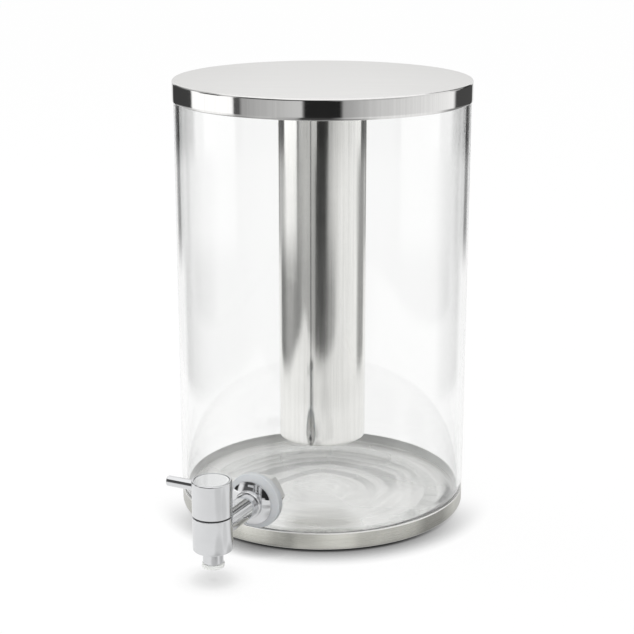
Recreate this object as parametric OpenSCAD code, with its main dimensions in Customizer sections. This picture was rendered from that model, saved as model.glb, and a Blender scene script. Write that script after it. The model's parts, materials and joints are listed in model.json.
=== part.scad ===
// Glass juice dispenser: a straight glass jar bonded into a shallow steel base, a flat steel
// lid that carries an ice tube on a bayonet, and a chromed quarter-turn tap near the floor.
// Millimetres, +Z up. The origin is on the table under the jar's axis, and the tap points to -Y.

/* [Overall] */
// Height from the table to the top of the lid
total_h = 270; // [235:1:330]

/* [Glass jar] */
// Outer diameter of the glass
jar_d = 180; // [160:1:220]
// Thickness of the glass wall
jar_wall = 3; // [2.4:0.1:4]
// Thickness of the glass floor over its foot ring
jar_floor = 6; // [4.5:0.1:8]
// Outer radius of the rounded heel
heel_r = 16; // [14:0.5:19]
// Inner radius between floor and wall
inner_heel_r = 5; // [3:0.5:7]
// Width of the flat foot ring under the heel
foot_ring_w = 8; // [5:0.5:12]
// Rise of the underside inside the foot ring
push_up = 1.5; // [0.8:0.1:2.5]

/* [Base] */
// Diameter of the non-slip pad under the base
pad_d = 150; // [100:1:152]
// Thickness of the non-slip pad
pad_t = 1; // [0.6:0.1:2]
// Height of the steel base over the pad
base_h = 11.1; // [9:0.1:12.5]
// Sheet thickness of the steel base
base_sheet = 0.8; // [0.6:0.1:1.2]
// Outer radius of the lower edge of the base
base_edge_r = 2.2; // [1.6:0.1:3]
// Gap between the rim of the base and the glass heel
base_rim_gap = 0.3; // [0.2:0.05:0.6]
// Thickness of the clear bond between base and glass
bond_t = 0.8; // [0.5:0.1:1.5]

/* [Lid] */
// Height of the polished skirt
lid_skirt_h = 12.2; // [9:0.1:18]
// Sheet thickness of the lid
lid_sheet = 0.6; // [0.5:0.1:1]
// Radius of the edge between lid top and skirt
lid_edge_r = 1.3; // [1.1:0.1:2]
// Gap between skirt and glass
lid_gap = 0.3; // [0.2:0.05:0.6]
// Thickness of the seal between glass rim and lid
seal_t = 1.4; // [1:0.1:2.5]
// Depth of the seal's lip inside the glass
seal_lip_h = 4; // [2:0.5:8]
// Thickness of the seal's lip
seal_lip_t = 1.6; // [1:0.1:2.5]

/* [Ice tube] */
// Outer diameter of the ice tube
tube_d = 54.2; // [40:0.1:70]
// Wall thickness of the ice tube
tube_wall = 0.8; // [0.6:0.1:1.5]
// Length of the ice tube
tube_len = 224; // [150:1:238]
// Thickness of the tube's welded floor
tube_floor_t = 1; // [0.8:0.1:2]
// Height of the rolled edge that the floor sits in
tube_floor_recess = 0.6; // [0.3:0.1:1.5]
// Width of the longitudinal seam line
seam_w = 0.5; // [0.3:0.1:1]
// Depth of the longitudinal seam line
seam_depth = 0.15; // [0.1:0.05:0.3]
// Direction of the seam, turned from the tap towards +X
seam_angle = 11; // [-60:1:60]
// Thickness of the seal between tube and lid
tube_seal_t = 1.2; // [0.8:0.1:2]

/* [Bayonet] */
// Number of bayonet lugs
lug_count = 3; // [2:1:3]
// Angle that each lug covers
lug_angle = 50; // [30:1:52]
// How far each lug stands out of the rim band
lug_out = 2.6; // [1.5:0.1:4]
// Height of each lug
lug_h = 3; // [2:0.1:3.5]
// Distance from the lid's underside to the lugs' lower faces
lug_drop = 10; // [8:0.1:12]
// Thickness of the band round the top of the tube
rim_band_t = 1; // [0.8:0.1:2]
// Height of the band round the top of the tube
rim_band_h = 6; // [4:0.1:7]
// Thickness of the collar's shelf
shelf_t = 2; // [1.5:0.1:3]
// Wall thickness of the collar
collar_wall = 1.5; // [1:0.1:3]

/* [Tap] */
// Distance from the glass to the tap's upright axis
tap_reach = 51.5; // [46:0.5:70]
// Gap between the inner gasket and the curve of the jar's floor
tap_floor_gap = 3.2; // [0.5:0.1:10]
// Diameter of the tap's body and knob
tap_d = 23; // [21.5:0.1:28]
// Height of the tap's body above the arm's axis
body_above = 9.1; // [8.7:0.1:14]
// Height of the tap's body below the arm's axis
body_below = 11.3; // [9:0.1:15]
// Radius of the body's lower edge
body_edge_r = 0.9; // [0.4:0.1:1.5]
// Gap between body and knob
knob_gap = 0.9; // [0.7:0.1:1.5]
// Height of the knob
knob_h = 20.7; // [19:0.1:28]
// Radius of the knob's upper edge
knob_edge_r = 0.8; // [0.4:0.1:1.2]
// Thickness of the cover disc in the knob's top
knob_cap_t = 1.6; // [1:0.1:2.4]
// Gap round the cover disc
knob_cap_gap = 0.12; // [0.05:0.01:0.2]
// Width of the knob's rim round the cover disc
knob_rim_w = 1.3; // [1.25:0.05:2]
// Diameter of the lever
lever_d = 6; // [4:0.1:6.6]
// Length of the lever from the tap's upright axis
lever_len = 28.6; // [20:0.1:45]
// Metal between the lever's seat and the cover disc
lever_cover = 0.8; // [0.4:0.1:3]
// Radius of the edge at the lever's tip
lever_edge_r = 0.5; // [0.2:0.1:1.5]
// Depth of the lever's seat in the knob
lever_seat = 6; // [3:0.1:7]

/* [Arm] */
// Diameter of the arm
arm_d = 14.6; // [13.4:0.1:17]
// Diameter of the threaded shank through the glass
shank_d = 14; // [12.5:0.1:14.4]
// Pitch of the shank's thread
thread_pitch = 1.5; // [1:0.25:2]
// Depth of the shank's thread
thread_depth = 0.6; // [0.4:0.05:0.9]
// Diameter of the water way in arm and shank
water_d = 8; // [6:0.1:8.4]
// Diameter of the arm's spigot in the body
spigot_d = 11; // [10.6:0.1:12]
// Diameter of the collar between arm and flange
arm_collar_d = 16.8; // [15.6:0.1:19]
// Width of the collar between arm and flange
arm_collar_w = 2.8; // [2:0.1:4]
// Radius of the collar's edges
arm_collar_edge_r = 0.9; // [0.4:0.1:0.95]
// Diameter of the flange where it meets the gasket
flange_d = 26.6; // [23:0.1:30]
// Thickness of the flange at the collar
flange_t = 2.7; // [2:0.1:5]
// Thickness of the flange at its outer edge
flange_edge_t = 1.2; // [0.8:0.1:1.8]
// Radius of the flange's outer edge
flange_edge_r = 0.5; // [0.2:0.1:0.7]

/* [Gaskets and nut] */
// Diameter of the outer gasket
gasket_d = 34; // [32:0.1:36]
// Thickness of the outer gasket at the shank
gasket_t = 5.5; // [4:0.1:8]
// Setback of the outer gasket's front face at its edge
gasket_taper = 2; // [1:0.1:2.6]
// Radius of the outer gasket's front edge
gasket_edge_r = 1.2; // [0.5:0.1:1.4]
// Thickness of the gasket's sleeve in the hole through the glass
gasket_sleeve_t = 0.9; // [0.6:0.1:1.5]
// Diameter of the inner gasket
inner_gasket_d = 27; // [24:0.1:30]
// Thickness of the inner gasket at the shank
inner_gasket_t = 3; // [2:0.1:5]
// Thickness of the washer under the nut
washer_t = 1.5; // [1:0.1:2.5]
// Setback of the washer from the inner gasket's edge
washer_inset = 0.8; // [0.3:0.1:2]
// Width of the hexagonal nut across its flats
nut_flats = 22; // [20:0.1:24]
// Thickness of the nut
nut_t = 7; // [4:0.1:9]
// Length of the shank that stands out of the nut
shank_end = 3; // [1:0.1:6]

/* [Valve and nozzle] */
// Diameter of the valve plug's bore in the body
bore_d = 14; // [13.6:0.1:15]
// Running gap of the valve plug in its bore
run_gap = 0.05; // [0.03:0.01:0.08]
// Diameter of the port through the plug
port_d = 7.2; // [5:0.1:7.6]
// Cord diameter of the plug's seal rings
ring_d = 1.2; // [1:0.1:1.4]
// Land beside each seal ring
ring_land = 0.5; // [0.3:0.1:0.6]
// Height of the retaining ring over the plug
retainer_h = 2.4; // [1.6:0.1:2.6]
// Diameter of the plug's stem
stem_d = 8; // [7.8:0.1:9]
// Width of the stem's square drive
drive_w = 5.4; // [5:0.1:5.5]
// Height of the stem's square drive
drive_h = 9; // [6:0.1:9.5]
// Diameter of the knob screw's thread
screw_d = 3; // [2.5:0.1:3]
// Diameter of the knob screw's head
screw_head_d = 5.6; // [4.5:0.1:6]
// Height of the knob screw's head
screw_head_h = 2; // [1.5:0.1:2.5]
// Width of the slot in the knob screw's head
screw_slot_w = 0.8; // [0.5:0.1:1.2]
// Grip of the knob screw in the stem
screw_grip = 6.6; // [4:0.1:7]
// Metal between the stem and the knob screw's head
screw_web = 1.6; // [1:0.1:3]
// Outer diameter of the nozzle
nozzle_d = 11.8; // [11.5:0.1:14]
// Length of the nozzle below the body, lip included
nozzle_len = 10.6; // [7:0.1:12]
// Wall thickness of the nozzle
nozzle_wall = 1.45; // [1.2:0.05:1.6]
// Radius of the nozzle's lower edge
nozzle_edge_r = 0.4; // [0.2:0.1:0.6]
// Shoulder of the nozzle under the body
nozzle_shoulder = 0.6; // [0.4:0.1:0.9]
// Metal between the nozzle's socket and the valve plug's bore
socket_web = 0.8; // [0.6:0.1:1.5]
// Height of the outlet sleeve's lip
lip_h = 2.6; // [1.5:0.1:3.5]
// Radius of the edges of the outlet sleeve's lip
lip_edge_r = 0.7; // [0.3:0.1:0.7]
// How far the outlet sleeve's lip stands out of the nozzle
lip_out = 0.65; // [0.2:0.05:1]

/* [Clearances] */
// Gap between pieces that are pressed or screwed together
seat_gap = 0.02; // [0.01:0.01:0.05]
// Gap between flat faces of pieces that move apart
lift_gap = 0.1; // [0.05:0.01:0.2]
// Gap round the bayonet's lugs
bayonet_gap = 0.4; // [0.3:0.05:0.8]
// Gap between the lid seal's lip and the glass
seal_lip_gap = 0.3; // [0.2:0.05:0.8]
// Gap round the knob screw's head
screw_head_gap = 0.3; // [0.1:0.05:0.6]
// Radius of small turned edges
small_edge_r = 0.3; // [0.15:0.05:0.4]
// Setback of the dark washer between body and knob
bearing_inset = 0.8; // [0.4:0.1:1.5]

/* [Hidden] */
$fn = 96;

// Overshoot of a cutting shape past the face that it cuts
cut = 1;
// Facets of the wide round faces that a narrow piece is shaped to
wide_fn = 720;

// Jar and base, from the table up
jar_r = jar_d / 2;
jar_in_r = jar_r - jar_wall;
base_z = pad_t;
base_floor_z = base_z + base_sheet;
base_rim_z = base_z + base_h;
jar_z = base_floor_z + bond_t;
jar_floor_z = jar_z + jar_floor;
foot_out_r = jar_r - heel_r;
foot_in_r = foot_out_r - foot_ring_w;
push_up_r = (foot_in_r ^ 2 + push_up ^ 2) / (2 * push_up);
heel_rise = heel_r - (base_rim_z - jar_z);
base_in_r = jar_r - heel_r + sqrt(heel_r ^ 2 - heel_rise ^ 2) + base_rim_gap;
base_r = base_in_r + base_sheet;

// Lid, from the top down
lid_in_r = jar_r + lid_gap;
lid_r = lid_in_r + lid_sheet;
lid_under_z = total_h - lid_sheet;
seal_z = lid_under_z - seal_t;
jar_top_z = seal_z - lift_gap;

// Ice tube and bayonet
tube_r = tube_d / 2;
tube_in_r = tube_r - tube_wall;
tube_top_z = lid_under_z - lift_gap - tube_seal_t;
tube_z = tube_top_z - tube_len;
rim_band_r = tube_r + seat_gap + rim_band_t;
lug_z = lid_under_z - lug_drop;
lug_r = rim_band_r + lug_out;
shelf_r = rim_band_r + bayonet_gap;
collar_in_r = lug_r + bayonet_gap;
collar_r = collar_in_r + collar_wall;
shelf_z = lug_z - lift_gap - shelf_t;

// Tap, along its arm
arm_r = arm_d / 2;
shank_r = shank_d / 2;
water_r = water_d / 2;
spigot_r = spigot_d / 2;
gasket_r = gasket_d / 2;
inner_gasket_r = inner_gasket_d / 2;
flange_r = flange_d / 2;
hole_r = shank_r + seat_gap + gasket_sleeve_t;
tap_z = jar_floor_z + inner_heel_r + tap_floor_gap + inner_gasket_r;
tap_y = jar_r + tap_reach;
gasket_face = jar_r + gasket_t;
flange_face = gasket_face + flange_t;
arm_face = flange_face + arm_collar_w;
inner_face = jar_in_r - inner_gasket_t;
washer_face = inner_face - washer_t;
nut_face = washer_face - nut_t;
shank_tip = nut_face - shank_end;
nut_r = nut_flats / (2 * cos(30));
arm_seal_at = tap_y - (tap_d + bore_d) / 4;

// Tap, along its upright axis
tap_r = tap_d / 2;
bore_r = bore_d / 2;
plug_r = bore_r - run_gap;
port_r = port_d / 2;
ring_r = ring_d / 2;
ring_centre_r = bore_r - run_gap - ring_r;
body_z = tap_z - body_below;
body_top_z = tap_z + body_above;
body_h = body_above + body_below;
knob_z = body_top_z + knob_gap;
knob_top_z = knob_z + knob_h;
plug_z = tap_z - port_r - 2 * ring_land - ring_d;
plug_top_z = body_top_z - retainer_h - lift_gap;
bore_z = plug_z - lift_gap;
low_ring_z = plug_z + ring_land + ring_r;
top_ring_z = plug_top_z - ring_land - ring_r;
stem_r = stem_d / 2;
drive_top_z = knob_z + drive_h;
screw_r = screw_d / 2;
head_r = screw_head_d / 2;
head_z = drive_top_z + screw_web;
cap_z = knob_top_z - knob_cap_t;
cap_r = tap_r - knob_rim_w;
lever_r = lever_d / 2;
lever_z = cap_z - lever_cover - lever_r;
nozzle_r = nozzle_d / 2;
nozzle_in_r = nozzle_r - nozzle_wall;
socket_r = nozzle_r - nozzle_shoulder;
socket_top_z = bore_z - socket_web;
lip_r = nozzle_r + lip_out;
nozzle_z = body_z - nozzle_len;
sleeve_r = nozzle_in_r - seat_gap;

steel_colour = "silver";
satin_colour = [0.70, 0.69, 0.66];
chrome_colour = [0.86, 0.87, 0.88];
clear_colour = [0.85, 0.92, 0.92, 0.35];
silicone_colour = [0.86, 0.89, 0.91];
dark_colour = [0.16, 0.16, 0.17];

// Placing along the arm: local +Z runs outwards from the jar's axis
module along_arm() {
    translate([0, 0, tap_z]) rotate([90, 0, 0]) children();
}

// Placing on the tap's upright axis
module on_tap_axis() {
    translate([0, -tap_y, 0]) children();
}

// Half outline of a turned bar with rounded lower and upper edges
module bar_outline(r, z0, z1, low_r, top_r) {
    translate([0, z0 + low_r]) square([r, z1 - z0 - low_r - top_r]);
    translate([0, z0]) square([r - max(low_r, top_r), z1 - z0]);
    translate([0, z0]) square([r - low_r, low_r]);
    translate([0, z1 - top_r]) square([r - top_r, top_r]);
    translate([r - low_r, z0 + low_r]) circle(low_r);
    translate([r - top_r, z1 - top_r]) circle(top_r);
}

// Half outline of a drawn cup of sheet with a rounded floor edge and a rounded rim
module cup_outline(r, z0, z1, sheet, edge_r) {
    rim_r = sheet / 2;
    difference() {
        union() {
            translate([0, z0]) square([r - edge_r, edge_r]);
            translate([0, z0 + edge_r]) square([r, z1 - z0 - edge_r - rim_r]);
            translate([r - edge_r, z0 + edge_r]) circle(edge_r);
        }
        translate([0, z0 + sheet]) square([r - edge_r, edge_r]);
        translate([0, z0 + edge_r]) square([r - sheet, z1 - z0]);
        translate([r - edge_r, z0 + edge_r]) circle(edge_r - sheet);
    }
    translate([r - rim_r, z1 - rim_r]) circle(rim_r);
}

// A flat ring
module ring(r_out, r_in, z0, z1) {
    translate([0, 0, z0]) difference() {
        cylinder(r = r_out, h = z1 - z0);
        translate([0, 0, -cut]) cylinder(r = r_in, h = z1 - z0 + 2 * cut);
    }
}

// A seal ring of round cord
module cord_ring(centre_r, z) {
    translate([0, 0, z]) rotate_extrude() translate([centre_r, 0]) circle(ring_r, $fn = 32);
}

// Wedges over the gaps between the bayonet's lugs, seen from above
module gap_wedges(reach) {
    lug_pitch = 360 / lug_count;
    half_w = reach * tan((lug_pitch - lug_angle) / 2);
    for (i = [0 : lug_count - 1])
        rotate((i + 0.5) * lug_pitch)
            polygon([[0, 0], [reach, -half_w], [reach, half_w]]);
}

// Half outline of the threaded shank, with one groove for each pitch
function thread_points(r, depth, pitch, z0, z1) =
    let (turns = floor((z1 - z0) / pitch))
    [
        for (i = [0 : turns - 1])
            each [
                [r - depth, z0 + i * pitch],
                [r, z0 + (i + 0.4) * pitch],
                [r, z0 + (i + 0.6) * pitch],
            ],
        [r - depth, z0 + turns * pitch],
        [r - depth, z1],
    ];

module base_pad() {
    color(dark_colour) cylinder(d = pad_d, h = pad_t);
}

module base_tray() {
    color(satin_colour)
        rotate_extrude() cup_outline(base_r, base_z, base_rim_z, base_sheet, base_edge_r);
}

module bond_ring() {
    color(clear_colour) ring(foot_out_r, foot_in_r, base_floor_z, jar_z);
}

// Half outline of the jar: straight wall, rounded heel, fire-polished rim and risen underside
module jar_outline() {
    rim_r = jar_wall / 2;
    difference() {
        union() {
            translate([0, jar_z]) square([foot_out_r, heel_r]);
            translate([0, jar_z + heel_r]) square([jar_r, jar_top_z - rim_r - jar_z - heel_r]);
            translate([foot_out_r, jar_z + heel_r]) circle(heel_r);
        }
        translate([0, jar_floor_z]) square([jar_in_r - inner_heel_r, jar_top_z]);
        translate([0, jar_floor_z + inner_heel_r]) square([jar_in_r, jar_top_z]);
        translate([jar_in_r - inner_heel_r, jar_floor_z + inner_heel_r]) circle(inner_heel_r);
        intersection() {
            translate([0, jar_z + push_up - push_up_r]) circle(push_up_r, $fn = 2 * wide_fn);
            translate([0, jar_z - cut]) square([foot_in_r, push_up + cut]);
        }
    }
    translate([jar_r - rim_r, jar_top_z - rim_r]) circle(rim_r);
}

module glass_jar() {
    color(clear_colour) difference() {
        rotate_extrude() jar_outline();
        along_arm() translate([0, 0, jar_in_r / 2]) cylinder(r = hole_r, h = jar_r);
    }
}

module lid_shell() {
    color(steel_colour)
        rotate_extrude()
            translate([0, total_h]) mirror([0, 1])
                cup_outline(lid_r, 0, lid_skirt_h, lid_sheet, lid_edge_r);
}

// The seal clears the round between the lid's top and skirt
module lid_seal() {
    in_r = jar_in_r - seal_lip_gap - seal_lip_t;
    out_r = lid_r - lid_edge_r;
    color(silicone_colour) rotate_extrude() {
        translate([in_r, seal_z]) square([out_r - in_r, seal_t]);
        translate([in_r, seal_z - seal_lip_h]) square([seal_lip_t, seal_lip_h + seal_t]);
    }
}

// Collar with a shelf that is open wherever a lug has to pass
module bayonet_collar() {
    shelf_top_z = shelf_z + shelf_t;
    color(steel_colour) {
        ring(collar_r, collar_in_r, shelf_top_z, lid_under_z);
        translate([0, 0, shelf_z]) linear_extrude(shelf_t) difference() {
            circle(collar_r);
            circle(shelf_r);
            intersection() {
                circle(collar_in_r);
                gap_wedges(collar_r);
            }
        }
    }
}

// The rolled wall of the tube, with its seam line outside and open below for the welded floor
module ice_tube() {
    color(satin_colour) difference() {
        ring(tube_r, tube_in_r, tube_z, tube_top_z);
        rotate(seam_angle)
            translate([-seam_w / 2, -tube_r - cut, tube_z - cut])
                cube([seam_w, seam_depth + cut, tube_len + 2 * cut]);
    }
}

module tube_floor() {
    color(satin_colour)
        translate([0, 0, tube_z + tube_floor_recess])
            cylinder(r = tube_in_r - seat_gap, h = tube_floor_t);
}

// Band round the tube's top, with the lugs that rest on the collar's shelf
module tube_rim_band() {
    band_in_r = tube_r + seat_gap;
    color(steel_colour) {
        ring(rim_band_r, band_in_r, lug_z + lug_h, lug_z + rim_band_h);
        translate([0, 0, lug_z]) linear_extrude(lug_h) difference() {
            circle(lug_r);
            circle(band_in_r);
            difference() {
                gap_wedges(2 * lug_r);
                circle(rim_band_r);
            }
        }
    }
}

module tube_seal() {
    color(silicone_colour)
        ring(tube_r + rim_band_t / 2, tube_in_r - rim_band_t, tube_top_z, lid_under_z - lift_gap);
}

// Body with the plug's bore, the arm's port and the nozzle's socket
module tap_body() {
    color(chrome_colour) on_tap_axis() difference() {
        rotate_extrude() bar_outline(tap_r, body_z, body_top_z, body_edge_r, small_edge_r);
        translate([0, 0, bore_z]) cylinder(r = bore_r, h = body_h);
        translate([0, 0, body_z - cut]) cylinder(r = port_r, h = body_h);
        translate([0, 0, body_z - cut]) cylinder(r = socket_r, h = socket_top_z - body_z + cut);
        translate([0, 0, tap_z]) rotate([-90, 0, 0])
            cylinder(r = spigot_r + seat_gap, h = tap_r + cut);
    }
}

// Arm, its spigot in the body and the threaded shank that passes through the glass
module tap_arm() {
    color(chrome_colour) difference() {
        along_arm() {
            translate([0, 0, arm_face]) cylinder(r = arm_r, h = tap_y - arm_face);
            translate([0, 0, flange_face]) cylinder(r = shank_r, h = arm_collar_w + cut);
            translate([0, 0, gasket_face - cut]) cylinder(r = shank_r, h = flange_t + 2 * cut);
            rotate_extrude()
                polygon([
                    [0, shank_tip],
                    each thread_points(shank_r, thread_depth, thread_pitch, shank_tip, gasket_face),
                    [0, gasket_face],
                ]);
        }
        on_tap_axis() {
            translate([0, 0, body_z - cut]) difference() {
                cylinder(r = tap_r + seat_gap, h = body_h + 2 * cut);
                translate([0, 0, body_below + cut]) rotate([-90, 0, 0])
                    cylinder(r = spigot_r, h = tap_d);
            }
            translate([0, 0, body_z - cut]) cylinder(r = bore_r + seat_gap, h = body_h + 2 * cut);
        }
        along_arm() {
            translate([0, 0, shank_tip - cut]) cylinder(r = water_r, h = tap_y - shank_tip + cut);
            rotate_extrude() translate([spigot_r, arm_seal_at]) circle(ring_r + seat_gap, $fn = 32);
        }
    }
}

module arm_collar() {
    color(chrome_colour) along_arm() difference() {
        rotate_extrude()
            bar_outline(
                arm_collar_d / 2, flange_face + seat_gap, arm_face - seat_gap,
                arm_collar_edge_r, arm_collar_edge_r
            );
        translate([0, 0, flange_face - cut]) cylinder(r = shank_r + seat_gap, h = arm_collar_w + 2 * cut);
    }
}

module arm_seal_ring() {
    color(dark_colour) along_arm() intersection() {
        cord_ring(spigot_r, arm_seal_at);
        translate([0, 0, arm_seal_at - ring_d]) cylinder(r = spigot_r, h = 2 * ring_d);
    }
}

// Flange disc, slightly coned in front, with a rounded outer edge
module tap_flange() {
    edge_z = gasket_face + flange_edge_t - flange_edge_r;
    color(chrome_colour) along_arm() rotate_extrude()
        polygon([
            [shank_r + seat_gap, gasket_face],
            [flange_r, gasket_face],
            for (a = [0 : 15 : 75])
                [
                    flange_r - flange_edge_r * (1 - cos(a)),
                    edge_z + flange_edge_r * sin(a),
                ],
            [arm_collar_d / 2, flange_face],
            [shank_r + seat_gap, flange_face],
        ]);
}

// Soft outer gasket, shaped to the glass behind and tapered towards its edge in front
module outer_gasket() {
    front = gasket_face - seat_gap;
    edge_z = front - gasket_taper - gasket_edge_r;
    color(silicone_colour) difference() {
        along_arm() {
            rotate_extrude() {
                polygon([
                    [0, jar_r - gasket_t],
                    [gasket_r, jar_r - gasket_t],
                    for (a = [0 : 15 : 75])
                        [
                            gasket_r - gasket_edge_r * (1 - cos(a)),
                            edge_z + gasket_edge_r * sin(a),
                        ],
                    [flange_r, front],
                    [0, front],
                ]);
            }
        }
        cylinder(r = jar_r + seat_gap, h = 2 * tap_z + gasket_d, $fn = wide_fn);
        along_arm() cylinder(r = shank_r + seat_gap, h = tap_y);
    }
    color(silicone_colour) difference() {
        along_arm() ring(hole_r - seat_gap, shank_r + seat_gap, jar_in_r, jar_r + gasket_t / 2);
        cylinder(r = jar_in_r + seat_gap, h = 2 * tap_z, $fn = wide_fn);
    }
}

// Inner gasket, shaped to the inside of the glass
module inner_gasket() {
    color(silicone_colour) intersection() {
        along_arm() ring(inner_gasket_r, shank_r + seat_gap, inner_face, jar_r);
        cylinder(r = jar_in_r - seat_gap, h = 2 * tap_z, $fn = wide_fn);
    }
}

module lock_washer() {
    color(steel_colour) along_arm()
        ring(inner_gasket_r - washer_inset, shank_r + seat_gap, washer_face, inner_face);
}

// Hexagonal nut with both faces chamfered
module lock_nut() {
    chamfer = (nut_r - nut_flats / 2) / 2;
    color(steel_colour) along_arm() difference() {
        intersection() {
            translate([0, 0, nut_face]) cylinder(r = nut_r, h = nut_t, $fn = 6);
            rotate_extrude()
                polygon([
                    [0, nut_face],
                    [nut_r - 2 * chamfer, nut_face],
                    [nut_r, nut_face + chamfer],
                    [nut_r, washer_face - chamfer],
                    [nut_r - 2 * chamfer, washer_face],
                    [0, washer_face],
                ]);
        }
        translate([0, 0, nut_face - cut]) cylinder(r = shank_r + seat_gap, h = nut_t + 2 * cut);
    }
}

module nozzle() {
    color(chrome_colour) on_tap_axis() difference() {
        union() {
            rotate_extrude()
                bar_outline(nozzle_r, nozzle_z + lip_h, body_z, nozzle_edge_r, small_edge_r);
            translate([0, 0, body_z - cut])
                cylinder(r = socket_r - seat_gap, h = socket_top_z - body_z + cut - seat_gap);
        }
        translate([0, 0, nozzle_z]) cylinder(r = nozzle_in_r, h = body_h);
    }
}

// Translucent sleeve inside the nozzle, with a lip that shows below it
module outlet_sleeve() {
    color(silicone_colour) on_tap_axis() difference() {
        union() {
            rotate_extrude()
                bar_outline(lip_r, nozzle_z, nozzle_z + lip_h - seat_gap, lip_edge_r, lip_edge_r);
            translate([0, 0, nozzle_z + lip_h / 2])
                cylinder(r = sleeve_r, h = socket_top_z - nozzle_z - lip_h / 2 - seat_gap);
        }
        translate([0, 0, nozzle_z - cut]) cylinder(r = port_r, h = body_h);
    }
}

// Plug with an elbow passage: at rest the side port faces +X, away from the arm
module valve_plug() {
    color("whitesmoke") on_tap_axis() difference() {
        union() {
            translate([0, 0, plug_z]) cylinder(r = plug_r, h = plug_top_z - plug_z);
            translate([0, 0, plug_top_z - cut])
                cylinder(r = stem_r, h = knob_z - plug_top_z + cut - lift_gap);
            translate([-drive_w / 2, -drive_w / 2, body_top_z])
                cube([drive_w, drive_w, drive_top_z - body_top_z]);
        }
        translate([0, 0, plug_z - cut]) cylinder(r = port_r, h = tap_z - plug_z + cut);
        translate([0, 0, tap_z]) sphere(r = port_r);
        translate([0, 0, tap_z]) rotate([0, 90, 0]) cylinder(r = port_r, h = bore_d);
        for (z = [low_ring_z, top_ring_z])
            rotate_extrude() translate([ring_centre_r, z]) circle(ring_r + seat_gap, $fn = 32);
        for (z = [low_ring_z, top_ring_z])
            translate([0, 0, z - ring_r - seat_gap])
                ring(bore_r, ring_centre_r, 0, ring_d + 2 * seat_gap);
        translate([0, 0, drive_top_z - screw_grip - cut])
            cylinder(r = screw_r + seat_gap, h = screw_grip + 2 * cut);
    }
}

module plug_seal_rings() {
    color(dark_colour) on_tap_axis()
        for (z = [low_ring_z, top_ring_z])
            cord_ring(ring_centre_r, z);
}

// Ring pressed into the top of the bore, with two holes for a pin spanner
module plug_retainer() {
    pin_hole_r = 0.6;
    color("goldenrod") on_tap_axis() difference() {
        ring(bore_r - seat_gap, stem_r + run_gap, body_top_z - retainer_h, body_top_z);
        for (side = [-1, 1])
            translate([side * (bore_r + stem_r) / 2, 0, body_top_z - retainer_h / 2])
                cylinder(r = pin_hole_r, h = retainer_h, $fn = 24);
    }
}

module bearing_washer() {
    color(dark_colour) on_tap_axis()
        ring(tap_r - bearing_inset, stem_r + run_gap, body_top_z, knob_z - lift_gap);
}

// Knob with a square socket below, the screw's counterbore, the lever's seat and a cap recess
module tap_knob() {
    socket_w = drive_w + 2 * run_gap;
    color(chrome_colour) on_tap_axis() difference() {
        rotate_extrude() bar_outline(tap_r, knob_z, knob_top_z, small_edge_r, knob_edge_r);
        translate([-socket_w / 2, -socket_w / 2, knob_z - cut])
            cube([socket_w, socket_w, drive_h + cut + run_gap]);
        translate([0, 0, knob_z]) cylinder(r = screw_r + run_gap, h = knob_h);
        translate([0, 0, head_z]) cylinder(r = head_r + screw_head_gap, h = knob_h);
        translate([0, 0, cap_z]) cylinder(r = cap_r, h = knob_cap_t + cut);
        translate([0, 0, lever_z]) rotate([0, -90, 0])
            translate([0, 0, tap_r - lever_seat])
                cylinder(r = lever_r + seat_gap, h = lever_seat + cut);
    }
}

module knob_cap() {
    color(chrome_colour) on_tap_axis()
        rotate_extrude()
            bar_outline(
                cap_r - knob_cap_gap, cap_z + seat_gap, knob_top_z - knob_cap_gap,
                small_edge_r, small_edge_r
            );
}

module knob_screw() {
    shaft_z = drive_top_z - screw_grip;
    slot_z = head_z + screw_head_h / 2;
    color(steel_colour) on_tap_axis() difference() {
        union() {
            translate([0, 0, head_z]) cylinder(r = head_r, h = screw_head_h);
            translate([0, 0, shaft_z]) cylinder(r = screw_r, h = slot_z - shaft_z);
        }
        translate([-head_r - cut, -screw_slot_w / 2, slot_z])
            cube([2 * (head_r + cut), screw_slot_w, screw_head_h]);
    }
}

module tap_lever() {
    color(chrome_colour) on_tap_axis()
        translate([0, 0, lever_z]) rotate([0, -90, 0])
            rotate_extrude()
                bar_outline(lever_r, tap_r - lever_seat, lever_len, small_edge_r, lever_edge_r);
}

base_pad();
base_tray();
bond_ring();
glass_jar();
lid_shell();
lid_seal();
bayonet_collar();
ice_tube();
tube_floor();
tube_rim_band();
tube_seal();
tap_body();
tap_arm();
arm_collar();
arm_seal_ring();
tap_flange();
outer_gasket();
inner_gasket();
lock_washer();
lock_nut();
nozzle();
outlet_sleeve();
valve_plug();
plug_seal_rings();
plug_retainer();
bearing_washer();
tap_knob();
knob_cap();
knob_screw();
tap_lever();
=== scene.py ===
import json
import math

import bmesh
import bpy
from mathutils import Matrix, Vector, noise


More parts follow.
